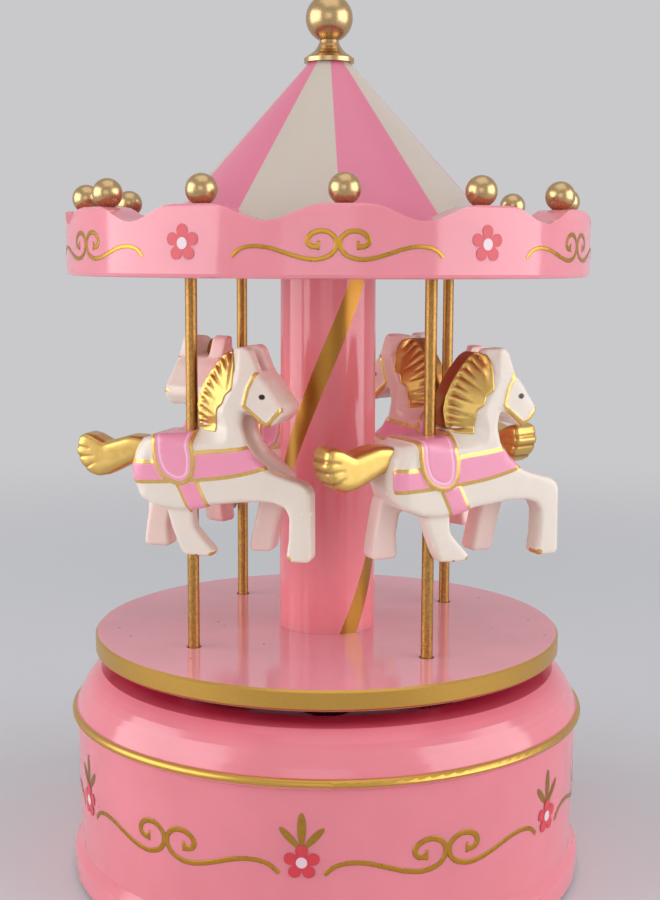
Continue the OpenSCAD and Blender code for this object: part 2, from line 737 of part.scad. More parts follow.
module horse(i) {
    skin = 0.4;
    half = horse_w / 2 - skin;
    leg_in = rod_d / 2 + 0.4;
    edge = 0.8;
    color("ivory") at_rod(i) rotate(horse_headings[i - 1] - rod_angles[i - 1])
        translate([0, 0, platform_top + hoof_h]) difference() {
            union() {
                slab(torso_points, -half, half, edge);
                slab(mane_points, -half - skin, half + skin, 0.5);
                slab(tail_points, -tail_w / 2, tail_w / 2, 1);
                slab(near_front_points, -half, -leg_in, edge);
                slab(near_rear_points, -half, -leg_in, edge);
                slab(far_front_points, leg_in, half, edge);
                slab(far_rear_points, leg_in, half, edge);
                slab(blanket_points, -half - skin, half + skin, 0.5);
            }
            cylinder(d = rod_d + 2 * press_gap, h = 60);
            // Valley between the ears
            translate([0, 0, 33.4]) rotate([90, 0, 90])
                linear_extrude(20) polygon([[-2.4, 8], [0, 0], [2.4, 8]]);
        }
}

base_shell();
bottom_cover();
cover_screws();
foot_pads();
horse_cam();
bedplate();
movement_screws();
spring_housing();
mainspring();
comb();
comb_screws();
governor_frame();
winding_arbor();
drive_wheel();
platform();
column();
tie_rod();
ceiling();
canopy_rim();
rim_balls();
roof();
finial();
horse_rod(1);  // horse_rod_1
horse_rod(2);  // horse_rod_2
horse_rod(3);  // horse_rod_3
horse_rod(4);  // horse_rod_4
horse(1);  // horse_1
horse(2);  // horse_2
horse(3);  // horse_3
horse(4);  // horse_4
pin_cylinder();
cylinder_arbor();
cylinder_pinion();
cylinder_wheel();
governor_arbor();
worm_wheel();
governor_worm();
air_brake();
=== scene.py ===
# %% [markdown]
# # A carousel music box in plastic, gold foil and steel
#
# The object is a toy of moulded plastic: a round base that hides a clockwork, a platform that
# turns with four horses on rods, and a canopy with a scalloped rim and a striped roof.
# The turned and moulded bodies come from the CAD frame and only get their finishes here.
# What a CAD solid can't carry is modelled: the soft moulded horses with their painted tack,
# and the printed scrolls and flowers. Each piece is built in millimetres about a handy origin,
# and moved to its place in its own mesh at the end.

# %% Load the frame
from math import atan2, cos, pi, radians, sin

import bmesh
import bpy
import numpy as np
from mathutils import Matrix, Vector


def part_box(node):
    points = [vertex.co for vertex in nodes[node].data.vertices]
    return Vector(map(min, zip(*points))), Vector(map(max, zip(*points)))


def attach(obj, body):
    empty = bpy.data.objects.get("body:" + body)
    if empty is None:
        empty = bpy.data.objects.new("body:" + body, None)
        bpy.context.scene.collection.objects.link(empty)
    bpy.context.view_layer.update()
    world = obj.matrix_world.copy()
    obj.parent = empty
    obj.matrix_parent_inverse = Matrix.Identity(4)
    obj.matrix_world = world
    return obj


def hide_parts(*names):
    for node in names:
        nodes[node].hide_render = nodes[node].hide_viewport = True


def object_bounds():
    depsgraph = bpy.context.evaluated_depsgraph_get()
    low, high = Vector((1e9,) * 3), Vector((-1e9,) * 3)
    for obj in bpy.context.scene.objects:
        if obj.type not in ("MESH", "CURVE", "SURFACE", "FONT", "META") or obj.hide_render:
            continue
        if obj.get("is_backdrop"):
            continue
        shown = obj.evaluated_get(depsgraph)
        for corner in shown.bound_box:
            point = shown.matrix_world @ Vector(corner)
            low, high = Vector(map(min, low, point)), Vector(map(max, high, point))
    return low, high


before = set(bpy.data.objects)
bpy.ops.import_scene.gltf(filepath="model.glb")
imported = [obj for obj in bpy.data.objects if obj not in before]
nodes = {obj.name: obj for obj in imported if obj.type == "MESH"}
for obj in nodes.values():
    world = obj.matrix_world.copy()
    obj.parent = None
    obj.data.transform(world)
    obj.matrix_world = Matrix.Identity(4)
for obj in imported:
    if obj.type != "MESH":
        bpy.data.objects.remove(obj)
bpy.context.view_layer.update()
MM = 0.001

# %% [markdown]
# ## Sizes that the pieces share
#
# The base's box is set by its bead and foot, so the radius of its wall and the height of its
# bead are typed once. All are in millimetres.

# %% Read the sizes of the bodies
def low_high(node):
    """Lowest and highest corner of a CAD node at rest."""
    low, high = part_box(node)
    return low / MM, high / MM


platform_high = low_high("platform")[1]
PLATFORM_TOP = platform_high.z
PLATFORM_R = platform_high.x
RIM_R = low_high("canopy_rim")[1].x
BASE_R = 49.2
BEAD_Z = 32.9
print("platform top", round(PLATFORM_TOP, 2), "rim radius", round(RIM_R, 2))

# %% [markdown]
# ## Camera
#
# The camera stands 28 cm in front of the axis, as high as the canopy's rim, and looks down a
# little. So the rim's foot is seen almost as a straight line, and the platform and the base
# under it open into ellipses. The lens sees 35 degrees from top to bottom, a common view for a
# small object on a table.

# %% Set up the camera
CAMERA_AT = Vector((-1.0, -279.2, 120.24))
PITCH, YAW, ROLL = 0.1324, 0.0053, 0.0042
LENS, SENSOR = 56.84, 36


def new_object(name, data):
    """An object in the scene's collection."""
    made = bpy.data.objects.new(name, data)
    bpy.context.scene.collection.objects.link(made)
    return made


camera_data = bpy.data.cameras.new("camera")
camera_data.sensor_fit = "VERTICAL"
camera_data.sensor_height = SENSOR
camera_data.lens = LENS
camera_data.clip_start = 0.01
camera = new_object("camera", camera_data)
turn = Matrix.Rotation(-YAW, 4, "Z") @ Matrix.Rotation(pi / 2 - PITCH, 4, "X") @ Matrix.Rotation(ROLL, 4, "Z")
camera.matrix_world = Matrix.Translation(CAMERA_AT * MM) @ turn
bpy.context.scene.camera = camera
bpy.context.scene.view_settings.view_transform = "Standard"
print("camera looks down by", round(PITCH * 180 / pi, 1), "degrees")

# %% [markdown]
# ## Helpers
#
# Colours are written as sRGB hex values, the way a paint program shows them, and one function
# turns them to the linear values that Blender mixes with. One small function adds a node, sets
# it up and links it, which keeps the recipes for the finishes short enough to read.
#
# Sockets go by name or by number. On a colour Mix, 0 is the share, 6 and 7 are the two colours,
# and output 2 is the result. On a Map Range, 0 is the value, 1 and 2 are the ends it goes
# between, and 3 and 4 what these become. Noise stays between about 0.3 and 0.7.

# %% Colours and nodes
def srgb(code):
    """Linear colour of an sRGB hex value."""
    parts = [int(code[i : i + 2], 16) / 255 for i in (1, 3, 5)]
    return (*[p / 12.92 if p <= 0.04045 else ((p + 0.055) / 1.055) ** 2.4 for p in parts], 1)


def add(tree, kind, sockets=None, **settings):
    """Adds a node. Sockets take a value, an output, or a node, whose first output is used."""
    made = tree.nodes.new(kind)
    for name, value in settings.items():
        setattr(made, name, value)
    for socket, value in (sockets or {}).items():
        if isinstance(value, bpy.types.Node):
            value = value.outputs[0]
        if isinstance(value, bpy.types.NodeSocket):
            tree.links.new(value, made.inputs[socket])
        else:
            made.inputs[socket].default_value = value
    return made


BLEND = {"data_type": "RGBA"}
TINT = {"data_type": "RGBA", "blend_type": "MULTIPLY"}
NOISE_ENDS = {1: 0.3, 2: 0.7}

# %% New finishes and new pieces
def new_finish(name):
    """A material, its node tree, and its Object coordinates in millimetres."""
    finish = bpy.data.materials.new(name)
    finish.use_nodes = True
    tree = finish.node_tree
    tree.nodes.clear()
    spot = add(tree, "ShaderNodeTexCoord")
    mm = add(tree, "ShaderNodeVectorMath", {0: spot.outputs["Object"], "Scale": 1000}, operation="SCALE")
    return finish, tree, mm


def coat_with(tree, sockets):
    """Ends a finish in one Principled shader."""
    shader = add(tree, "ShaderNodeBsdfPrincipled", sockets)
    add(tree, "ShaderNodeOutputMaterial", {"Surface": shader})


def dress(finish, *names):
    """Gives the objects of CAD nodes their finish."""
    for name in names:
        slots = nodes[name].data.materials
        slots.clear()
        slots.append(finish)


def mesh_from(bm, name):
    """Turns a bmesh into a mesh and frees it."""
    mesh = bpy.data.meshes.new(name)
    bm.to_mesh(mesh)
    bm.free()
    return mesh


def shape_of(holder):
    """A bmesh of what an object's modifiers or curve make of it. The object is removed."""
    data, shape = holder.data, holder.evaluated_get(bpy.context.evaluated_depsgraph_get())
    bm = bmesh.new()
    bm.from_mesh(shape.to_mesh())
    shape.to_mesh_clear()
    bpy.data.objects.remove(holder)
    kept_in = bpy.data.meshes if isinstance(data, bpy.types.Mesh) else bpy.data.curves
    kept_in.remove(data)
    return bm


def place(name, mesh, finish, body, slot, *replaced):
    """Makes a piece of a mesh that is in metres and in its place, and lets it ride on a body."""
    piece = new_object(name, mesh)
    mesh.materials.clear()
    mesh.materials.append(finish)
    mesh.shade_smooth()
    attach(piece, body)
    if replaced:
        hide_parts(*replaced)
    return piece


# %% [markdown]
# ## Light
#
# Glossy plastic shows what stands around it. Two large softboxes, left and right of the camera,
# give the rim its pale panels with crisp ends, and two weaker lamps lift the front and the top.
#
# The studio behind is pale. It lights the object softly, and rays that come straight from the
# camera or from a gloss see it in a tone of its own, so the lamps stay at a plain level.

# %% Softboxes and the world
PALE = srgb("#C9C9CC")
AIM_AT = Vector((0, 0, 0.1))


def softbox(name, around, distance, height, size, power):
    """An area light that faces the object. around is in degrees from the camera's side."""
    data = bpy.data.lights.new(name, "AREA")
    data.shape = "RECTANGLE"
    data.size, data.size_y = size
    data.energy = power
    a = radians(around)
    at = Vector((sin(a) * distance, -cos(a) * distance, height))
    facing = (AIM_AT - at).to_track_quat("-Z", "Y").to_matrix().to_4x4()
    new_object(name, data).matrix_world = Matrix.Translation(at) @ facing


def seen_directly(tree):
    """1 for rays from the camera and from glossy or clear surfaces, 0 for soft light."""
    path = add(tree, "ShaderNodeLightPath")
    share = path.outputs["Is Camera Ray"]
    for ray in ("Is Glossy Ray", "Is Transmission Ray"):
        share = add(tree, "ShaderNodeMath", {0: share, 1: path.outputs[ray]}, operation="MAXIMUM").outputs[0]
    return share


softbox("softbox_right", 70, 0.62, 0.17, (0.62, 0.62), 3.4)
softbox("softbox_left", -74, 0.62, 0.17, (0.70, 0.62), 3.8)
softbox("front_fill", -4, 0.95, 0.25, (0.5, 0.4), 0.6)
softbox("softbox_top", 20, 0.12, 0.80, (0.7, 0.7), 1.1)
world = bpy.data.worlds.new("studio")
bpy.context.scene.world = world
world.use_nodes = True
room = world.node_tree
room.nodes.clear()
soft = add(room, "ShaderNodeBackground", {"Color": (0.80, 0.80, 0.83, 1), "Strength": 0.46})
pale = add(room, "ShaderNodeBackground", {"Color": PALE, "Strength": 1.0})
both = add(room, "ShaderNodeMixShader", {0: seen_directly(room), 1: soft, 2: pale})
add(room, "ShaderNodeOutputWorld", {"Surface": both})

# %% [markdown]
# ## Ground
#
# The ground is a real studio sweep: a flat sheet, a wide bend and an upright end, so no horizon
# cuts the view. It is spun from nothing more than one edge: extruded out, then turned up round
# an axis behind the object. Far from the object it is seen in the same pale tone as the room; the
# part near the object is lit by the lamps and keeps the object's shadow.

# %% Ground sheet
HALF_WIDTH, FRONT_END, BEND_AT, BEND_R, WALL = 3, -1.6, 0.8, 0.9, 1.5


def verts_in(geometry):
    """The points in what an operator gives back."""
    return [g for g in geometry if isinstance(g, bmesh.types.BMVert)]


def edges_in(geometry):
    """The edges in what an operator gives back."""
    return [g for g in geometry if isinstance(g, bmesh.types.BMEdge)]


bm = bmesh.new()
edge = bm.edges.new([bm.verts.new((x, FRONT_END, 0)) for x in (-HALF_WIDTH, HALF_WIDTH)])
far_end = bmesh.ops.extrude_edge_only(bm, edges=[edge])["geom"]
far_verts = verts_in(far_end)
bmesh.ops.translate(bm, verts=far_verts, vec=(0, BEND_AT - FRONT_END, 0))
bend = bmesh.ops.spin(
    bm, geom=far_verts + edges_in(far_end), cent=(0, BEND_AT, BEND_R), axis=(1, 0, 0), angle=pi / 2, steps=24
)["geom_last"]
up = bmesh.ops.extrude_edge_only(bm, edges=edges_in(bend))["geom"]
bmesh.ops.translate(bm, verts=verts_in(up), vec=(0, 0, WALL))
bmesh.ops.recalc_face_normals(bm, faces=bm.faces)
sweep = mesh_from(bm, "ground")
sweep.shade_smooth()
ground = new_object("ground", sweep)
print("ground has", len(sweep.polygons), "faces")

# %% Paper on the ground
NEAR_MM, FAR_MM = 130, 620
paper, tree, mm = new_finish("studio_paper")
away = add(tree, "ShaderNodeVectorMath", {0: mm}, operation="LENGTH").outputs["Value"]
rise = add(tree, "ShaderNodeMapRange", {0: away, 1: NEAR_MM, 2: FAR_MM}, interpolation_type="SMOOTHSTEP")
share = add(tree, "ShaderNodeMath", {0: seen_directly(tree), 1: rise}, operation="MULTIPLY")
matt_look = {"Base Color": srgb("#DADBDE"), "Roughness": 0.9, "Specular IOR Level": 0.2}
matt = add(tree, "ShaderNodeBsdfPrincipled", matt_look)
glow = add(tree, "ShaderNodeEmission", {"Color": PALE, "Strength": 1.0})
both = add(tree, "ShaderNodeMixShader", {0: share, 1: matt, 2: glow})
add(tree, "ShaderNodeOutputMaterial", {"Surface": both})
sweep.materials.append(paper)
ground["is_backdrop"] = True

# %% [markdown]
# ## Moulded plastic
#
# The pink bodies are injection-moulded ABS, dyed through and polished by the mould, so they
# are glossy with an IOR of about 1.53. A mould never gives a perfect mirror: the wall sinks
# and swells by microns over some 10 mm, which bends reflections a little, and the dye is not
# quite even. Both are drawn with slow noise, and a few dust specks sit on the gloss.

# %% Recipe for glossy plastic, with or without gold paint on it
GOLD_PAINT = "#C99C4A"
DUST = "#A8506A"


def glossy_plastic(name, colour, roughness=0.14, gold=None, gold_tone=GOLD_PAINT, dust=0.0, uneven=0.05):
    """colour is a hex value or a function of (tree, mm); gold is a function that gives a mask."""
    finish, tree, mm = new_finish(name)
    dye = colour(tree, mm) if callable(colour) else srgb(colour)
    cloud = add(tree, "ShaderNodeTexNoise", {"Vector": mm, "Scale": 0.06, "Detail": 2.0})
    shade = add(tree, "ShaderNodeMapRange", {0: cloud, **NOISE_ENDS, 3: 1 - uneven, 4: 1 + uneven})
    dyed = add(tree, "ShaderNodeMix", {0: 1.0, 6: dye, 7: shade}, **TINT).outputs[2]
    wave = add(tree, "ShaderNodeTexNoise", {"Vector": mm, "Scale": 0.12, "Detail": 1.0})
    skin = add(tree, "ShaderNodeBump", {"Strength": 0.1, "Distance": 0.0004, "Height": wave})
    rough = add(tree, "ShaderNodeMapRange", {0: cloud, **NOISE_ENDS, 3: roughness * 0.85, 4: roughness * 1.2})
    if dust:
        cells = add(tree, "ShaderNodeTexVoronoi", {"Vector": mm, "Scale": 0.16, "Randomness": 1.0})
        speck = add(tree, "ShaderNodeMath", {0: cells.outputs["Distance"], 1: dust}, operation="LESS_THAN")
        dyed = add(tree, "ShaderNodeMix", {0: speck, 6: dyed, 7: srgb(DUST)}, **BLEND).outputs[2]
    sockets = {"Base Color": dyed, "Roughness": rough, "IOR": 1.53, "Normal": skin}
    sockets |= {"Subsurface Weight": 0.3, "Subsurface Radius": (1.0, 0.25, 0.3), "Subsurface Scale": 0.004}
    if gold:
        mask = gold(tree, mm)
        grain = add(tree, "ShaderNodeTexNoise", {"Vector": mm, "Scale": 4.0, "Detail": 3.0})
        paint = add(tree, "ShaderNodeMapRange", {0: grain, **NOISE_ENDS, 3: 0.94, 4: 1.05})
        gilt = add(tree, "ShaderNodeMix", {0: 1.0, 6: srgb(gold_tone), 7: paint}, **TINT).outputs[2]
        sockets["Base Color"] = add(tree, "ShaderNodeMix", {0: mask, 6: dyed, 7: gilt}, **BLEND).outputs[2]
        sockets["Metallic"] = add(tree, "ShaderNodeMath", {0: mask, 1: 0.8}, operation="MULTIPLY")
        sockets["Roughness"] = add(tree, "ShaderNodeMix", {0: mask, 2: rough, 3: 0.32}, data_type="FLOAT")
    coat_with(tree, sockets)
    return finish


# %% [markdown]
# The platform's edge and the base's bead carry gold paint. A mask by radius and height finds
# them. Under the platform, where the shoulder lies in shade, a painted shade deepens the base's
# pink to a full red-pink. It stands in for the little light there, which has gone from pink to
# pink many times.

# %% Base, platform and canopy
BEAD_FROM = (BASE_R + 0.75, BEAD_Z - 0.4)
EDGE_FROM = (PLATFORM_R - 0.42, 40.0)
# Painted shade: between these radii the base's pink is painted a deeper red-pink, for the shade under the platform.
PAINTED_SHADE_FROM_R, PAINTED_SHADE_FULL_R = 48.0, 41.5


def radius_of(tree, mm):
    """Distance from the axis, in millimetres."""
    flat = add(tree, "ShaderNodeVectorMath", {0: mm, 1: (1, 1, 0)}, operation="MULTIPLY")
    return add(tree, "ShaderNodeVectorMath", {0: flat}, operation="LENGTH").outputs["Value"]


def outside(limit, above):
    """Mask that is 1 past a radius and above a height."""
    def mask(tree, mm):
        out = add(tree, "ShaderNodeMapRange", {0: radius_of(tree, mm), 1: limit - 0.04, 2: limit + 0.04})
        height = add(tree, "ShaderNodeSeparateXYZ", {0: mm}).outputs["Z"]
        high = add(tree, "ShaderNodeMath", {0: height, 1: above}, operation="GREATER_THAN")
        return add(tree, "ShaderNodeMath", {0: out, 1: high}, operation="MULTIPLY").outputs[0]

    return mask


def base_pink_with_painted_shade(tree, mm):
    """Pink with a painted shade: a full red-pink painted on under the platform, where the shoulder is in shade."""
    # Painted shade: the red-pink is painted in where the platform shades the shoulder.
    painted_shade = add(tree, "ShaderNodeMapRange", {0: radius_of(tree, mm), 1: PAINTED_SHADE_FROM_R, 2: PAINTED_SHADE_FULL_R, 3: 0.0, 4: 0.9})
    return add(tree, "ShaderNodeMix", {0: painted_shade, 6: srgb("#E98894"), 7: srgb("#E4345C")}, **BLEND).outputs[2]


dress(glossy_plastic("pink_abs_base", base_pink_with_painted_shade, gold=outside(*BEAD_FROM), dust=0.03), "base_shell")
platform_look = {"roughness": 0.09, "gold": outside(*EDGE_FROM), "dust": 0.045}
dress(glossy_plastic("pink_abs_platform", "#F09FAC", **platform_look), "platform")
dress(glossy_plastic("pink_abs_canopy", "#EC909D", roughness=0.11), "canopy_rim", "ceiling")
dress(glossy_plastic("pink_abs_cover", "#D98A98", roughness=0.4), "bottom_cover")
print("dressed the pink bodies")

# %% [markdown]
# ## Angles round the axis
#
# The roof's stripes and the column's ribbons both follow the angle round the axis, counted from
# the front towards the right. Arctangent gives it, and Wrap folds it into equal sectors, so ten
# stripes cost no more than one.

# %% Roof with ten stripes
STRIPE = radians(36)


def angle_of(tree, mm, turned=0.0, rise=0.0):
    """Angle from the front, in radians, less a start angle and a share of the height."""
    xyz = add(tree, "ShaderNodeSeparateXYZ", {0: mm})
    front = add(tree, "ShaderNodeMath", {0: xyz.outputs["Y"], 1: -1.0}, operation="MULTIPLY")
    angle = add(tree, "ShaderNodeMath", {0: xyz.outputs["X"], 1: front}, operation="ARCTAN2")
    climb = add(tree, "ShaderNodeMath", {0: xyz.outputs["Z"], 1: -rise, 2: -turned}, operation="MULTIPLY_ADD")
    return add(tree, "ShaderNodeMath", {0: angle, 1: climb}, operation="ADD").outputs[0]


def roof_stripes(tree, mm):
    """Cream and pink in turn, two stripes to a sector."""
    angle = angle_of(tree, mm, turned=STRIPE / 10)
    sector = add(tree, "ShaderNodeMath", {0: angle, 1: 2 * STRIPE, 2: 0.0}, operation="WRAP")
    pink = add(tree, "ShaderNodeMath", {0: sector, 1: STRIPE}, operation="LESS_THAN")
    return add(tree, "ShaderNodeMix", {0: pink, 6: srgb("#CBBEB1"), 7: srgb("#DE7B96")}, **BLEND).outputs[2]


dress(glossy_plastic("striped_roof_paint", roof_stripes, roughness=0.34, uneven=0.03), "roof")
print("striped the roof")

# %% [markdown]
# The column is a glossy salmon tube with two gold ribbons that climb it like a barber's pole.
# On a cylinder that is a straight line in angle and height: one turn for each 141 mm. Each
# ribbon is set by one point of its middle line: an angle, and a height above the platform.

# %% Column with its ribbons
RIBBON_RISE = radians(2.55)
RIBBON_HALF = radians(11)
RIBBON_POINTS = ((-50.0, 34.4), (43.7, 6.9))
RIBBON_BLUR = 0.006


def column_ribbons(tree, mm):
    """Mask that is 1 on both ribbons."""
    masks = []
    for at_angle, at_height in RIBBON_POINTS:
        start = radians(at_angle) - RIBBON_RISE * (PLATFORM_TOP + at_height)
        angle = angle_of(tree, mm, turned=start, rise=RIBBON_RISE)
        near = add(tree, "ShaderNodeMath", {0: angle, 1: pi, 2: -pi}, operation="WRAP")
        apart = add(tree, "ShaderNodeMath", {0: near}, operation="ABSOLUTE")
        ends = {1: RIBBON_HALF + RIBBON_BLUR, 2: RIBBON_HALF - RIBBON_BLUR}
        masks.append(add(tree, "ShaderNodeMapRange", {0: apart, **ends}))
    return add(tree, "ShaderNodeMath", dict(enumerate(masks)), operation="MAXIMUM").outputs[0]


column_look = {"roughness": 0.12, "gold": column_ribbons, "gold_tone": "#A9772F"}
dress(glossy_plastic("salmon_abs_column", "#EF8992", **column_look), "column")
print("drew", len(RIBBON_POINTS), "ribbons on the column")

# %% [markdown]
# ## Gold-coloured metal and paint
#
# Three golds look different on the object. The balls are plated plastic: a champagne tone,
# smooth but not sharp. The rods are steel with a bronze lacquer full of metal flakes, so they
# glitter in grains; real flakes are finer than a tenth of a millimetre, and are drawn about
# 0.3 mm wide so that they show. The prints are hot-stamped foil, deeper in tone.

# %% Recipe for metals
def metal(name, colour, roughness, grain=1.5, spread=0.12, bump=0.2, flakes=0.0):
    """spread is how far the tone varies; flakes is how many flakes lie along a millimetre."""
    finish, tree, mm = new_finish(name)
    noise = add(tree, "ShaderNodeTexNoise", {"Vector": mm, "Scale": grain, "Detail": 4.0})
    tone = add(tree, "ShaderNodeMapRange", {0: noise, **NOISE_ENDS, 3: 1 - spread, 4: 1 + spread})
    tinted = add(tree, "ShaderNodeMix", {0: 1.0, 6: srgb(colour), 7: tone}, **TINT).outputs[2]
    rough = add(tree, "ShaderNodeMapRange", {0: noise, **NOISE_ENDS, 3: roughness * 0.85, 4: roughness * 1.2})
    height = noise.outputs[0]
    if flakes:
        cells = add(tree, "ShaderNodeTexVoronoi", {"Vector": mm, "Scale": flakes, "Randomness": 1.0})
        height = cells.outputs["Color"]
        lit = add(tree, "ShaderNodeMapRange", {0: height, 1: 0.0, 2: 1.0, 3: 0.75, 4: 1.25})
        tinted = add(tree, "ShaderNodeMix", {0: 1.0, 6: tinted, 7: lit}, **TINT).outputs[2]
    skin = add(tree, "ShaderNodeBump", {"Strength": bump, "Distance": 0.0001, "Height": height})
    coat_with(tree, {"Base Color": tinted, "Metallic": 1.0, "Roughness": rough, "Normal": skin})
    return finish


HORSES = (1, 2, 3, 4)
gold_foil = metal("hot_stamped_gold_foil", "#C39236", 0.30, grain=1.2, spread=0.06, bump=0.08)
champagne = metal("champagne_plating", "#C4A577", 0.28, grain=3.0, spread=0.02, bump=0.02)
bronze = metal("bronze_flake_lacquer", "#AE8349", 0.36, flakes=3.2, bump=0.5)
dress(champagne, "rim_balls", "finial")
dress(bronze, *[f"horse_rod_{number}" for number in HORSES])
print("dressed the balls and the rods")

# %% [markdown]
# ## The clockwork's metals and plastics
#
# Nobody sees the movement with the base closed, but it shows from below through the sound
# slots. Its parts are zinc casting, brass, and steel that is ground or blued. The cam, the
# governor's frame and the worm wheel are milky acetal, the air brake is black nylon, and the
# feet under the base are dull rubber.

# %% Dress the movement
raw_zinc = metal("die_cast_zinc", "#A6A7AA", 0.45, grain=0.6, spread=0.08, bump=0.6)
ground_steel = metal("ground_steel", "#B4B6BA", 0.28, grain=4.0, spread=0.06)
cut_brass = metal("cut_brass", "#D0AE62", 0.25, grain=2.0, spread=0.06)
blued_steel = metal("tempered_spring_steel", "#5D6A86", 0.3, grain=0.8, spread=0.15)
natural_acetal = glossy_plastic("natural_acetal", "#E9E8E2", roughness=0.4, uneven=0.03)
dress(raw_zinc, "bedplate", "spring_housing")
dress(ground_steel, "cover_screws", "movement_screws", "comb", "comb_screws")
dress(ground_steel, "winding_arbor", "tie_rod", "cylinder_arbor", "governor_worm")
dress(cut_brass, "drive_wheel", "cylinder_pinion", "cylinder_wheel", "governor_arbor", "pin_cylinder")
dress(blued_steel, "mainspring")
dress(natural_acetal, "horse_cam", "governor_frame", "worm_wheel")
dress(glossy_plastic("black_nylon", "#222224", roughness=0.5), "air_brake")
dress(glossy_plastic("foot_rubber", "#1E1D1D", roughness=0.75), "foot_pads")
print("dressed the movement")

# %% [markdown]
# ## Horses
#
# Each horse is one hard plastic moulding: a thick flat cut-out with legs on both sides, every
# edge rounded, and a hollow down the front of its neck between the two halves. Such a form
# could be sculpted, or subdivided from a cage. Here flat cut-outs are melted together: each is
# one face from an outline, extruded and bevelled, then a voxel remesh joins them into one skin,
# and smoothing rounds the edges and fills the corners as a mould maker's cutter does.
#
# A horse is built about its rod: x runs forward, z up from the hooves, and y is its thickness.

# %% Cut-outs and the melt
def slab(bm, outline, y_low, y_high, edge):
    """A flat cut-out in the XZ plane, with bevelled rims."""
    face = bm.faces.new([bm.verts.new((x, y_low, z)) for x, z in outline])
    grown = bmesh.ops.extrude_face_region(bm, geom=[face])["geom"]
    bmesh.ops.translate(bm, verts=verts_in(grown), vec=(0, y_high - y_low, 0))
    caps = [face] + [g for g in grown if isinstance(g, bmesh.types.BMFace)]
    rims = list({e for cap in caps for e in cap.edges})
    bmesh.ops.bevel(
        bm, geom=rims, offset=edge, segments=3, affect="EDGES", profile=0.5, material=-1, clamp_overlap=True
    )


def melt(name, cut_outs, voxel, softening):
    """Joins cut-outs (outline, y low, y high, edge) into one smooth closed mesh, in millimetres."""
    bm = bmesh.new()
    for cut_out in cut_outs:
        slab(bm, *cut_out)
    bmesh.ops.recalc_face_normals(bm, faces=bm.faces)
    holder = new_object(name + "_rough", mesh_from(bm, name + "_rough"))
    remesh = holder.modifiers.new("melt", "REMESH")
    remesh.mode = "VOXEL"
    remesh.voxel_size = voxel
    bm = shape_of(holder)
    for _ in range(softening):
        bmesh.ops.smooth_vert(bm, verts=bm.verts, factor=0.5, use_axis_x=True, use_axis_y=True, use_axis_z=True)
    mesh = mesh_from(bm, name)
    print(name, "has", len(mesh.polygons), "faces")
    return mesh


# %% [markdown]
# The torso, neck and head share one outline. Its middle third is set back at the neck and the
# chest, which leaves the hollow there once the steps have melted. The near side is the one that
# faces outwards. The forelegs and hind legs of the two sides are at different steps of a trot.

# %% Outlines of the horse
TORSO = [
    (-8.4, 21.3), (-9.6, 19.4), (-10.3, 16.8), (-10.3, 14.2), (-9.5, 12.0), (-7.6, 10.2), (-4.6, 8.9), (-1.0, 8.5),
    (2.6, 8.9), (6.5, 9.8), (11.8, 10.4), (16.6, 10.9), (18.8, 12.6), (18.6, 14.8), (16.2, 16.6), (13.4, 18.7),
    (11.7, 21.4), (11.0, 24.2), (11.4, 26.8), (12.6, 26.8), (14.2, 25.4), (15.9, 24.2), (17.6, 24.7), (18.9, 26.4),
    (18.8, 28.0), (17.4, 30.0), (15.8, 32.4), (14.2, 34.0), (12.4, 34.3), (8.4, 34.4), (5.8, 33.0), (4.2, 30.4),
    (3.3, 27.0), (2.9, 24.0), (2.0, 22.4), (-5.4, 22.0),
]
NEAR_FRONT = [
    (12.6, 15.4), (12.6, 10.8), (17.4, 10.6), (19.5, 9.8), (20.3, 8.2), (20.2, 4.0), (19.7, 0.8), (20.2, 0.0),
    (23.8, 0.0), (24.3, 0.8), (24.2, 12.4), (23.7, 13.6), (22.4, 14.4), (18.2, 15.6), (15.0, 16.8),
]
NEAR_REAR = [
    (-5.0, 12.0), (-3.5, 9.2), (-2.2, 4.9), (-0.9, 1.7), (0.0, 0.2), (3.0, 0.0), (5.4, 0.1), (5.8, 1.1), (3.7, 3.3),
    (1.9, 5.4), (1.6, 8.3), (2.0, 12.0),
]
FAR_FRONT = [
    (11.8, 13.0), (12.2, 8.8), (10.3, 0.8), (10.9, 0.1), (14.2, 0.1), (14.9, 0.8), (15.6, 4.6), (17.0, 9.6),
    (16.9, 13.0),
]
FAR_REAR = [
    (-8.6, 14.0), (-9.2, 9.0), (-10.0, 4.6), (-10.5, 0.7), (-9.9, 0.1), (-5.7, 0.1), (-5.3, 0.8), (-5.6, 4.4),
    (-4.9, 8.4), (-3.0, 10.2), (-3.0, 14.0),
]
EAR = [(8.2, 33.0), (8.5, 36.8), (9.5, 38.2), (12.0, 38.5), (12.9, 37.8), (14.6, 33.2)]
CHEST_AND_NECK = range(11, 20)
SET_BACK = 3.0
MIDDLE = [(x - SET_BACK * (i in CHEST_AND_NECK), z) for i, (x, z) in enumerate(TORSO)]
HALF = 6.1
cut_outs = [
    (TORSO, -HALF, -2.6, 1.0), (TORSO, 2.6, HALF, 1.0), (MIDDLE, -3.4, 3.4, 0.3),
    (NEAR_FRONT, -HALF, -1.5, 0.6), (NEAR_REAR, -5.2, -1.5, 0.5),
    (FAR_FRONT, 1.5, HALF, 0.6), (FAR_REAR, 1.5, HALF, 0.6), (EAR, -5.8, -2.0, 0.3), (EAR, 2.0, 5.8, 0.3),
]
body_mesh = melt("horse_body", cut_outs, 0.30, 4)

# %% [markdown]
# ## Painted tack, by distance
#
# The pink band, saddle cloth and girth, the gold lines and the bridle are flat paint on raised
# forms. For each point of the skin the script works out how far it lies from each outline, in
# millimetres, below zero inside. The same distances then raise the skin a little and are stored
# on the mesh, where the finish reads them, so the paint always ends exactly at its step.

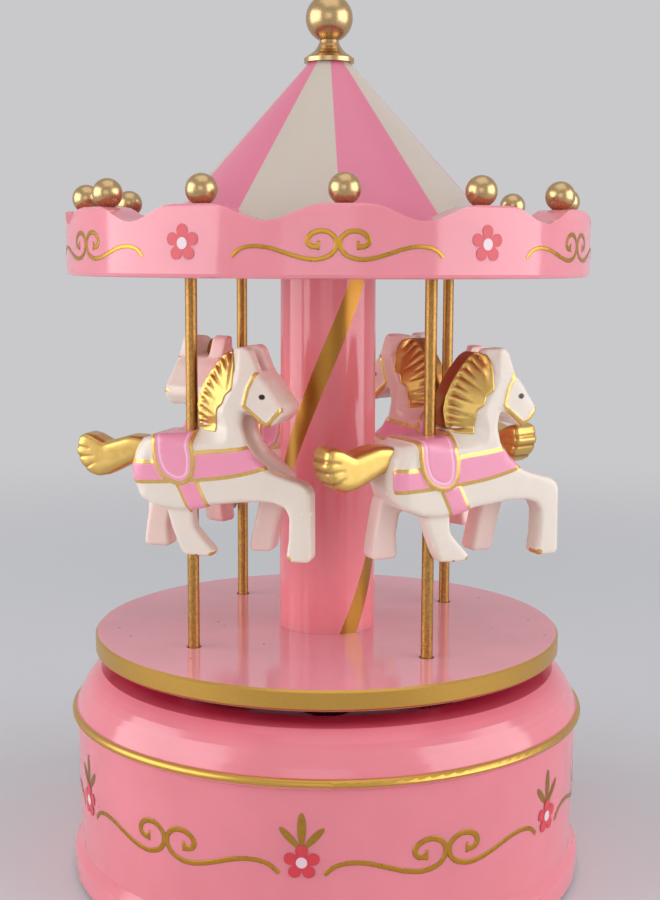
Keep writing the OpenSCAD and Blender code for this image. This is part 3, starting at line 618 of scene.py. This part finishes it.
# %% Distances to lines and outlines
def from_line(at, line):
    """Distance of each point to the nearest part of a line through the given points."""
    best = np.full(len(at), 1e9)
    for a, b in zip(np.array(line[:-1], float), np.array(line[1:], float)):
        along = b - a
        share = np.clip((at - a) @ along / (along @ along), 0, 1)
        best = np.minimum(best, np.linalg.norm(at - a - share[:, None] * along, axis=1))
    return best


def from_outline(at, outline):
    """Distance to a closed outline, negative inside."""
    inside = np.zeros(len(at), bool)
    for (x0, z0), (x1, z1) in zip(outline, outline[1:] + outline[:1]):
        crosses = (z0 > at[:, 1]) != (z1 > at[:, 1])
        with np.errstate(divide="ignore", invalid="ignore"):
            inside ^= crosses & (at[:, 0] < (x1 - x0) * (at[:, 1] - z0) / (z1 - z0) + x0)
    return from_line(at, outline + outline[:1]) * np.where(inside, -1, 1)


def flow(points, closed=False, steps=6):
    """A smooth line through the points (Catmull-Rom)."""
    p = [np.array(q, float) for q in points]
    count = len(p)
    line = []
    for i in range(count if closed else count - 1):
        a, b, c, d = (p[(i + k) % count] if closed else p[min(max(i + k, 0), count - 1)] for k in (-1, 0, 1, 2))
        for t in np.arange(steps) / steps:
            curve = (2 * a - 5 * b + 4 * c - d) * t**2 + (3 * b - a - 3 * c + d) * t**3
            line.append(tuple(0.5 * (2 * b + (c - a) * t + curve)))
    return line if closed else line + [tuple(p[-1])]


# %% Reading and moving the points of a mesh
def read_points(mesh, what):
    """Positions ("co") or normals ("normal") of the points, as rows of x, y and z."""
    values = np.empty(len(mesh.vertices) * 3)
    mesh.vertices.foreach_get(what, values)
    return values.reshape(-1, 3)


def move_to(mesh, spots):
    """Puts the points of a mesh at the given places."""
    mesh.vertices.foreach_set("co", spots.ravel())
    mesh.update()


def store(mesh, name, values):
    """Keeps one number for each point, where a finish can read it."""
    mesh.attributes.new(name, "FLOAT", "POINT").data.foreach_set("value", values.astype(np.float32))


def from_side(spots):
    """The x and z of each point, as the horse is seen from its side."""
    return spots[:, [0, 2]]


# %% [markdown]
# Before any paint goes on, the neck is thinned to a wedge towards its crest and the rump is
# rounded, because a flat cut-out is too blunt there. The mane goes through the same step later,
# so that it still sits on the neck.

# %% Taper the neck and the rump
CREST = [(9.0, 38.2), (6.8, 36.8), (4.9, 34.4), (3.4, 32.2), (2.3, 29.8), (1.8, 27.4), (1.8, 25.2), (2.6, 23.2)]
RUMP = [(-8.0, 22.0), (-9.6, 19.4), (-10.4, 16.8), (-10.4, 14.2), (-9.6, 12.0)]
CREST_REACH, RUMP_REACH = 6.2, 3.0
CREST_THINNED, RUMP_THINNED = 0.7, 0.5
BACK_Z, BACK_BLEND = 20.5, 4
EARS_X, EARS_BLEND = 11.0, 2.5


def tapered(mesh):
    """Thins the neck to a wedge towards its crest, and rounds the rump."""
    spots = read_points(mesh, "co")
    side = from_side(spots)
    near_crest = np.clip(1 - from_line(side, CREST) / CREST_REACH, 0, 1)
    above_back = np.clip((side[:, 1] - BACK_Z) / BACK_BLEND, 0, 1)
    behind_ears = np.clip((EARS_X - side[:, 0]) / EARS_BLEND, 0, 1)
    near_rump = np.clip(1 - from_line(side, RUMP) / RUMP_REACH, 0, 1)
    spots[:, 1] *= 1 - CREST_THINNED * near_crest * above_back * behind_ears
    spots[:, 1] *= 1 - RUMP_THINNED + RUMP_THINNED * np.sqrt(1 - near_rump**2)
    move_to(mesh, spots)


tapered(body_mesh)
print("tapered the neck and the rump")

# %% [markdown]
# Where each paint lies follows from the distances with "and" (the larger of two) and "or" (the
# smaller). The band, girth and bridle are only on the two flat sides of the horse, so each is
# joined by "and" with the distance to a plane inside those sides.

# %% Tack on the body
CLOTH = flow([
    (-5.6, 24.0), (-5.6, 20.8), (-5.4, 18.4), (-4.7, 16.1), (-3.4, 14.4), (-1.4, 13.4), (0.4, 13.3), (1.9, 14.2),
    (2.7, 15.9), (2.8, 18.6), (2.4, 20.6), (2.0, 24.0),
], closed=True)
BAND_TOP = flow([
    (-14.0, 17.1), (-9.5, 17.3), (-5.0, 17.4), (0.0, 18.6), (4.0, 19.4), (8.0, 19.8), (11.6, 20.3), (14.0, 20.8),
])
BAND_FOOT = flow([
    (-14.0, 13.4), (-9.0, 13.5), (-5.0, 13.7), (0.0, 14.0), (4.0, 14.4), (8.5, 15.0), (12.6, 15.9), (15.6, 16.8),
    (18.0, 17.6),
])
GIRTH = [(-0.8, 13.4), (1.1, 9.4), (1.6, 8.4), (5.4, 8.9), (4.9, 9.9), (3.0, 13.9)]
CHEEK = [(14.1, 33.7), (12.7, 31.0), (12.0, 28.0), (14.2, 26.2), (16.2, 24.5), (18.7, 27.4)]
HOOF_TIPS = ((20.2, 0.6, 0.6), (5.4, 0.4, 0.6), (2.4, 0.0, 0.5))
EYE_X, EYE_Z = 15.4, 29.7
EYE_WIDE, EYE_HIGH, EYE_MEAN = 0.62, 0.5, 0.55
FLAT_SIDE, FLAT_CHEEK, NEAR_LEGS = 4.7, 4.5, -3.0
TRIM_HALF, BAND_LINE_HALF, GIRTH_LINE_HALF, BRIDLE_HALF = 0.42, 0.36, 0.3, 0.38
CLOTH_UP, BAND_UP, BRIDLE_UP = 0.42, 0.18, 0.14
PALE_LINE_IN, GROOVE_HALF, GROOVE_DEEP = 1.5, 0.15, 0.10


def lift(distance, height, blur=0.5):
    """Height of a raised form: full inside, none outside, with a soft step between."""
    return height * np.clip(0.5 - distance / blur, 0, 1)


spots = read_points(body_mesh, "co")
side = from_side(spots)
inboard = FLAT_SIDE - np.abs(spots[:, 1])
cloth = from_outline(side, CLOTH)
band = np.maximum(from_outline(side, BAND_TOP + BAND_FOOT[::-1]), inboard)
girth = np.maximum(from_outline(side, GIRTH), inboard)
band_lines = np.minimum(from_line(side, BAND_TOP), from_line(side, BAND_FOOT)) - BAND_LINE_HALF
girth_lines = np.minimum(from_line(side, GIRTH[:3]), from_line(side, GIRTH[3:])) - GIRTH_LINE_HALF
bridle = np.maximum(from_line(side, CHEEK) - BRIDLE_HALF, inboard)
hooves = np.minimum.reduce([np.hypot(side[:, 0] - x, side[:, 1] - z) - r for x, z, r in HOOF_TIPS])
gold = np.minimum.reduce([
    np.abs(cloth + TRIM_HALF) - TRIM_HALF,
    np.maximum.reduce([band_lines, inboard, -cloth]),
    np.maximum.reduce([girth_lines, inboard, -cloth, np.abs(girth) - 0.8]),
    bridle,
    np.maximum(hooves, spots[:, 1] - NEAR_LEGS),
])
pink = np.minimum(cloth, np.minimum(band, girth))
eye = np.hypot((side[:, 0] - EYE_X) / EYE_WIDE, (side[:, 1] - EYE_Z) / EYE_HIGH) * EYE_MEAN - EYE_MEAN
eye = np.maximum(eye, FLAT_CHEEK - np.abs(spots[:, 1]))
forms = ((cloth, CLOTH_UP), (band, BAND_UP), (girth, BAND_UP), (bridle, BRIDLE_UP))
raised = np.maximum.reduce([lift(distance, height) for distance, height in forms])
raised -= lift(np.abs(cloth + PALE_LINE_IN) - GROOVE_HALF, GROOVE_DEEP, blur=0.4)
spots += read_points(body_mesh, "normal") * raised[:, None]
move_to(body_mesh, spots)
stored_mm = {"pink_mm": pink, "gold_mm": gold, "cloth_mm": cloth, "eye_mm": eye, "side_mm": spots[:, 1]}
for name, values in stored_mm.items():
    store(body_mesh, name, values)
print("stored", ", ".join(stored_mm))

# %% [markdown]
# The paint itself: ivory plastic, candy-pink enamel in the tack, gold foil on the lines, a
# fine pale line inside the saddle cloth and a black eye. Ivory plastic lets a little light in
# under its surface, so its thin edges glow warm, which subsurface scattering gives. The side
# that faces the column gets a painted reflection: the ivory is painted a pink blush there, for
# the pink light that the column and the canopy throw on it.

# %% Ivory plastic with its paint
def horse_paint():
    """Ivory with a painted pink blush and the other paints laid on it, each over the one before."""
    finish, tree, mm = new_finish("painted_ivory_plastic")

    def share_of(name, start, end):
        """0 to 1 while a distance that is stored on the mesh goes from start to end."""
        stored = add(tree, "ShaderNodeAttribute", attribute_name=name).outputs["Fac"]
        return add(tree, "ShaderNodeMapRange", {0: stored, 1: start, 2: end})

    cloud = add(tree, "ShaderNodeTexNoise", {"Vector": mm, "Scale": 0.25, "Detail": 3.0})
    paint = add(tree, "ShaderNodeMix", {0: cloud, 6: srgb("#ECE1D5"), 7: srgb("#E4D7CA")}, **BLEND).outputs[2]
    cloth_in = add(tree, "ShaderNodeAttribute", attribute_name="cloth_mm").outputs["Fac"]
    off_line = add(tree, "ShaderNodeMath", {0: cloth_in, 1: PALE_LINE_IN}, operation="ADD")
    near_line = add(tree, "ShaderNodeMath", {0: off_line}, operation="ABSOLUTE")
    pale_line = add(tree, "ShaderNodeMapRange", {0: near_line, 1: 0.22, 2: 0.12})
    grain = add(tree, "ShaderNodeTexNoise", {"Vector": mm, "Scale": 1.6, "Detail": 4.0})
    foil = add(tree, "ShaderNodeMix", {0: grain, 6: srgb("#D0A04C"), 7: srgb("#ECCB80")}, **BLEND).outputs[2]
    gilt = share_of("gold_mm", 0.05, -0.05)
    layers = (
        # Painted reflection: the side towards the column is painted a pink blush, for the pink light thrown on it.
        (share_of("side_mm", -1.0, 4.0), srgb("#F2CBC4")),
        (share_of("pink_mm", 0.05, -0.05), srgb("#F19CB8")),
        (pale_line, srgb("#F6C9DC")),
        (gilt, foil),
        (share_of("eye_mm", 0.08, -0.08), srgb("#1C1512")),
    )
    for share, tone in layers:
        paint = add(tree, "ShaderNodeMix", {0: share, 6: paint, 7: tone}, **BLEND).outputs[2]
    shiny = add(tree, "ShaderNodeMath", {0: gilt, 1: 0.6}, operation="MULTIPLY")
    rough = add(tree, "ShaderNodeMapRange", {0: cloud, **NOISE_ENDS, 3: 0.20, 4: 0.28})
    skin = add(tree, "ShaderNodeBump", {"Strength": 0.12, "Distance": 0.0003, "Height": cloud})
    sockets = {"Base Color": paint, "Metallic": shiny, "Roughness": rough, "IOR": 1.5, "Normal": skin}
    sockets |= {"Subsurface Weight": 0.25, "Subsurface Radius": (1.0, 0.45, 0.35), "Subsurface Scale": 0.0015}
    coat_with(tree, sockets)
    return finish


ivory_paint = horse_paint()
print("mixed", ivory_paint.name)

# %% [markdown]
# ## Mane and tail
#
# Mane and tail are parts of the same moulding, covered with gold foil. The mane is a plate over
# the neck with a stepped front edge and cuts that run in from the crest, and the tail ends in
# four blunt locks. The cuts are pressed into a fine skin: each is a line that is deepest at one
# end, and every point near it moves inwards. How deep it went is stored, and the foil reads it
# as a painted shade: it turns brown in the cuts, and along the mane's crest too.

# %% Foil on the hair
def hair_foil():
    """Foil with a painted brown shade in the cuts and along the crest."""
    finish, tree, mm = new_finish("gold_foil_hair")
    noise = add(tree, "ShaderNodeTexNoise", {"Vector": mm, "Scale": 0.9, "Detail": 4.0})
    bright = add(tree, "ShaderNodeMix", {0: noise, 6: srgb("#D2A650"), 7: srgb("#E5C47A")}, **BLEND).outputs[2]
    shade = add(tree, "ShaderNodeAttribute", attribute_name="shade").outputs["Fac"]
    # Painted shade: the stored shade darkens the foil to brown in the cuts and along the crest.
    foil_with_painted_shade = add(tree, "ShaderNodeMix", {0: shade, 6: bright, 7: srgb("#9C6233")}, **BLEND).outputs[2]
    rough = add(tree, "ShaderNodeMapRange", {0: noise, **NOISE_ENDS, 3: 0.28, 4: 0.36})
    skin = add(tree, "ShaderNodeBump", {"Strength": 0.15, "Distance": 0.0001, "Height": noise})
    coat_with(tree, {"Base Color": foil_with_painted_shade, "Metallic": 0.95, "Roughness": rough, "Normal": skin})
    return finish


hair = hair_foil()
print("mixed", hair.name)

# %% Mane with its cuts, tail with its locks
MANE = [
    (9.4, 37.2), (9.8, 35.8), (9.9, 34.0), (9.8, 32.4), (9.8, 30.8), (8.4, 29.8), (7.9, 28.2), (6.7, 27.2), (6.4, 23.0),
    (3.4, 23.2), (2.1, 24.4), (1.7, 27.4), (2.2, 29.9), (3.3, 32.2), (4.8, 34.4), (6.7, 36.7), (8.1, 37.6),
]
MANE_HALF = 6.55
CUTS = [
    ((8.2, 37.2), (8.9, 34.9)), ((7.0, 36.2), (8.6, 33.4)), ((5.9, 34.9), (7.2, 32.7)), ((4.9, 33.4), (7.6, 30.9)),
    ((4.1, 31.9), (5.9, 30.4)), ((3.4, 30.3), (6.5, 28.6)), ((2.9, 28.7), (4.9, 27.7)), ((2.7, 27.2), (6.0, 26.0)),
    ((2.6, 25.7), (4.6, 25.2)), ((2.8, 24.4), (5.8, 24.2)),
]
TAIL = [
    (-7.6, 20.9), (-9.4, 21.4), (-11.6, 21.5), (-14.0, 20.8), (-16.3, 20.1), (-18.6, 21.3), (-20.3, 21.7),
    (-21.5, 21.1), (-21.9, 19.8), (-22.2, 18.4), (-21.8, 17.0), (-21.2, 15.8), (-20.3, 14.6), (-19.0, 13.9),
    (-17.8, 13.6), (-15.6, 14.0), (-13.2, 15.2), (-10.8, 16.4), (-7.6, 17.4),
]
TAIL_HALF = 3.2
LOCKS = [((-22.8, 19.4), (-18.9, 18.8)), ((-22.4, 17.2), (-18.6, 17.5)), ((-21.0, 14.8), (-17.9, 16.4))]


def pressed(mesh, lines, width, depth, on_face):
    """Presses tapering cuts into both faces: each line goes from its deep end to its shallow end."""
    spots = read_points(mesh, "co")
    side = from_side(spots)
    sunk = np.zeros(len(spots))
    for deep, shallow in lines:
        deep, shallow = np.array(deep, float), np.array(shallow, float)
        along = shallow - deep
        share = np.clip((side - deep) @ along / (along @ along), 0, 1)
        off = np.linalg.norm(side - deep - share[:, None] * along, axis=1)
        sunk = np.maximum(sunk, depth * (1 - 0.8 * share) * np.clip(1 - off / (width * (1.05 - share)), 0, 1))
    sunk *= on_face
    move_to(mesh, spots - read_points(mesh, "normal") * sunk[:, None])
    # Painted shade: this value, high in the cuts and along the crest, is painted as brown on the foil.
    store(mesh, "shade", np.maximum(0.9 * sunk / depth, 0.85 * (1 - on_face)))


mane_mesh = melt("horse_mane", [(MANE, -MANE_HALF, MANE_HALF, 0.4)], 0.26, 2)
on_flat = np.clip((np.abs(read_points(mane_mesh, "co")[:, 1]) / MANE_HALF - 0.84) / 0.1, 0, 1)
tapered(mane_mesh)
pressed(mane_mesh, CUTS, 0.55, 0.45, on_flat)
tail_mesh = melt("horse_tail", [(TAIL, -TAIL_HALF, TAIL_HALF, 1.1)], 0.28, 5)
pressed(tail_mesh, LOCKS, 0.7, 0.3, np.ones(len(tail_mesh.vertices)))

# %% [markdown]
# The four horses are copies of one moulding. Each copy is turned to its own heading and moved
# to its rod inside its mesh. They have swivelled on their rods, so the headings are not even.

# %% Put the horses on their rods
HEADINGS = (-15.0, 25.0, 133.0, 236.0)
HOOF_Z = low_high("horse_1")[0].z
HORSE_PARTS = (
    ("body", body_mesh, ivory_paint, "ivory_plastic"),
    ("mane", mane_mesh, hair, "gold_ball"),
    ("tail", tail_mesh, hair, "gold_ball"),
)
for number, heading in zip(HORSES, HEADINGS):
    low, high = low_high(f"horse_rod_{number}")
    rod_at = Vector(((low.x + high.x) / 2, (low.y + high.y) / 2, HOOF_Z))
    put = Matrix.Scale(MM, 4) @ Matrix.Translation(rod_at) @ Matrix.Rotation(radians(heading), 4, "Z")
    for part, source, finish, slot in HORSE_PARTS:
        mesh = source.copy()
        mesh.transform(put)
        replaced = [f"horse_{number}"] if part == "body" else []
        place(f"horse_{number}_{part}", mesh, finish, f"rider_{number}", slot, *replaced)
print("placed", len(HEADINGS), "horses")

# %% [markdown]
# ## Prints on the canopy and the base
#
# The scrolls and flowers are thin layers of foil and ink on round walls. Each is drawn flat,
# with its length along the wall as x and its height as z, and then rolled onto the wall, which
# turns x into an angle and leaves a hair of thickness outside the plastic.

# %% Roll a flat print onto a wall
CLEAR_OF_WALL = 0.02
SIXTH = 60


def roll(mesh, radius, around, thickness, lean, foot):
    """Rolls a flat mesh (x along the wall, y its thickness, z up) round the axis.

    The wall may lean out by a share of the height above its foot.
    """
    x, y, z = read_points(mesh, "co").T
    span = max(y.max() - y.min(), 1e-6)
    reach = radius + lean * (z - foot) + CLEAR_OF_WALL + thickness * (y.max() - y) / span
    angle = radians(around) + x / radius
    move_to(mesh, np.stack([reach * np.sin(angle), -reach * np.cos(angle), z], 1) * MM)


def print_on(wall, name, bm, around, out, finish, slot, thickness=0.03):
    """Rolls a flat drawing on a wall (body, radius, lean, foot), out millimetres above it."""
    body, radius, lean, foot = wall
    mesh = mesh_from(bm, name)
    roll(mesh, radius + out, around, thickness, lean, foot)
    place(name, mesh, finish, body, slot)


def stroke(line, half_width, ends=1.0):
    """A flat pen stroke: a round tube along the line, thinner towards its last point."""
    data = bpy.data.curves.new("stroke", "CURVE")
    data.dimensions = "3D"
    data.bevel_depth = half_width
    data.bevel_resolution = 2
    data.use_fill_caps = True
    spline = data.splines.new("POLY")
    spline.points.add(len(line) - 1)
    for i, (point, (x, z)) in enumerate(zip(spline.points, line)):
        point.co = (x, 0, z, 1)
        point.radius = 1 + (ends - 1) * (i / (len(line) - 1)) ** 2
    return shape_of(new_object("stroke", data))


def disc(bm, z, radius_at, corners=60):
    """A flat shape round a point above the origin, its rim pushed out to radius_at(angle)."""
    upright = Matrix.Rotation(pi / 2, 4, "X")
    made = bmesh.ops.create_circle(bm, cap_ends=True, cap_tris=True, segments=corners, radius=1.0, matrix=upright)
    for v in made["verts"]:
        if v.co.length > 0.5:
            v.co *= radius_at(atan2(v.co.x, v.co.z))
        v.co.z += z


def merge_into(bm, other):
    """Adds one bmesh to another and frees it."""
    mesh = mesh_from(other, "part")
    bm.from_mesh(mesh)
    bpy.data.meshes.remove(mesh)


# %% [markdown]
# The scroll is two mirrored curls that touch in the middle, each with a long tail. One half is
# a single line: from the round blob in the curl, over its top, down the middle and out along
# the tail. The other half is its mirror image.

# %% Scroll
CURL = [
    (3.05, 74.55), (3.9, 74.4), (4.65, 74.7), (4.95, 75.35), (4.6, 76.15), (3.8, 76.7), (2.9, 76.9), (1.95, 76.85),
    (1.0, 76.35), (0.3, 75.4), (0.42, 74.1), (1.35, 73.05), (2.9, 72.5), (4.4, 72.42), (6.5, 72.8), (8.8, 73.5),
    (11.1, 74.2), (13.2, 74.48), (15.0, 74.35), (16.4, 73.8), (17.5, 72.8),
]
CURL_MIDDLE = 75.0
BLOB_X, BLOB_Z = 3.2, 74.62
LINE_HALF, BLOB_HALF = 0.39, 0.72


def scroll(height, scale=1.0):
    """Both halves of the scroll, flat, centred on x = 0."""
    bm = bmesh.new()
    for mirror in (1, -1):
        line = [(x * mirror * scale, height + (z - CURL_MIDDLE) * scale) for x, z in flow(CURL)]
        merge_into(bm, stroke(line, LINE_HALF * scale, ends=0.75))
        x, z = BLOB_X * mirror * scale, height + (BLOB_Z - CURL_MIDDLE) * scale
        merge_into(bm, stroke([(x - 0.2 * scale, z), (x + 0.2 * scale, z)], BLOB_HALF * scale))
    bmesh.ops.recalc_face_normals(bm, faces=bm.faces)
    return bm


# %% [markdown]
# The flower has five round petals round a pale heart. Its outline is the outer edge of five
# circles, which is found by asking how far each direction reaches before it leaves them all.

# %% Flower
HEART_R = 0.98


def petals(angle, reach=2.05, petal=1.1, core=1.5):
    """Distance from the flower's middle to its edge, with a petal straight up."""
    turned = (angle + pi / 5) % (2 * pi / 5) - pi / 5
    room = petal**2 - (reach * sin(turned)) ** 2
    return max(core, reach * cos(turned) + room**0.5) if room > 0 else core


def flower_and_heart(flower_z, heart_z):
    """The petals and the heart, flat, as two drawings."""
    flower, heart = bmesh.new(), bmesh.new()
    disc(flower, flower_z, petals, corners=100)
    disc(heart, heart_z, lambda angle: HEART_R)
    return flower, heart


def ink(name, colour):
    """Ink is a film of coloured resin, duller than the moulded plastic."""
    return glossy_plastic(name, colour, roughness=0.3, uneven=0.04)


FOIL = (gold_foil, "gold_ball", 0.05)
CORAL = (ink("coral_ink", "#DE3B48"), "pink_plastic")
PALE_PINK = (ink("pale_pink_ink", "#F8D3DC"), "pink_plastic")
RIM_WALL = ("carousel", RIM_R, 0.0, 0.0)
RIM_MIDDLE = PLATFORM_TOP + 75.05
RIM_SCROLL_AT, RIM_FLOWER_AT = 1.6, 31.3
for k in range(6):
    print_on(RIM_WALL, f"rim_scroll_{k + 1}", scroll(RIM_MIDDLE), RIM_SCROLL_AT + SIXTH * k, 0.0, *FOIL)
    flower, heart = flower_and_heart(RIM_MIDDLE, RIM_MIDDLE - 0.05)
    around = RIM_FLOWER_AT + SIXTH * k
    print_on(RIM_WALL, f"rim_flower_{k + 1}", flower, around, 0.05, *CORAL)
    print_on(RIM_WALL, f"rim_flower_heart_{k + 1}", heart, around, 0.10, *PALE_PINK)
print("printed six scrolls and six flowers on the rim")

# %% [markdown]
# The base repeats the theme under its gold bead: a larger scroll, and between the scrolls a
# flower on three gold leaves. The base's wall leans out a little towards its top, and the
# prints lean with it.

# %% Scrolls, leaves and flowers on the base
BASE_WALL = ("base", BASE_R, 0.5 / 27.5, 6.4)
BASE_MIDDLE = 19.5
BASE_SCALE = 1.25
BASE_SCROLL_AT, BASE_FLOWER_AT = 25, -5
LEAVES = ((-0.75, 5.6), (0.0, 6.8), (0.75, 5.6))
LEAF_FOOT = 0.5
LEAF_INK = (metal("gold_leaf_ink", "#B58A3A", 0.32, grain=1.2, spread=0.1), "gold_ball")


def leaf_outline(tilt, length):
    """Edge of a pointed leaf that stands on the origin, as a function of the angle from up."""
    def reach(angle):
        off = abs((angle - tilt + pi) % (2 * pi) - pi)
        return max(LEAF_FOOT, length * max(0.0, cos(off)) ** 30)

    return reach


for k in range(6):
    scroll_at, flower_at = BASE_SCROLL_AT + SIXTH * k, BASE_FLOWER_AT + SIXTH * k
    print_on(BASE_WALL, f"base_scroll_{k + 1}", scroll(BASE_MIDDLE, BASE_SCALE), scroll_at, 0.0, *FOIL)
    leaves = bmesh.new()
    for leaf in LEAVES:
        disc(leaves, BASE_MIDDLE + 1.5, leaf_outline(*leaf), corners=120)
    flower, heart = flower_and_heart(BASE_MIDDLE - 0.6, BASE_MIDDLE - 0.6)
    print_on(BASE_WALL, f"base_leaves_{k + 1}", leaves, flower_at, 0.03, *LEAF_INK)
    print_on(BASE_WALL, f"base_flower_{k + 1}", flower, flower_at, 0.09, *CORAL)
    print_on(BASE_WALL, f"base_flower_heart_{k + 1}", heart, flower_at, 0.14, *PALE_PINK)
print("printed six scrolls, leaves and flowers on the base")

# %% [markdown]
# ## The size
#
# The size of the finished model's box is printed, in millimetres. The finished model must stay
# inside the box of the CAD model.

# %% Print the model's box
low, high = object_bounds()
print("visual box in mm:", [round((b - a) / MM, 1) for a, b in zip(low, high)])
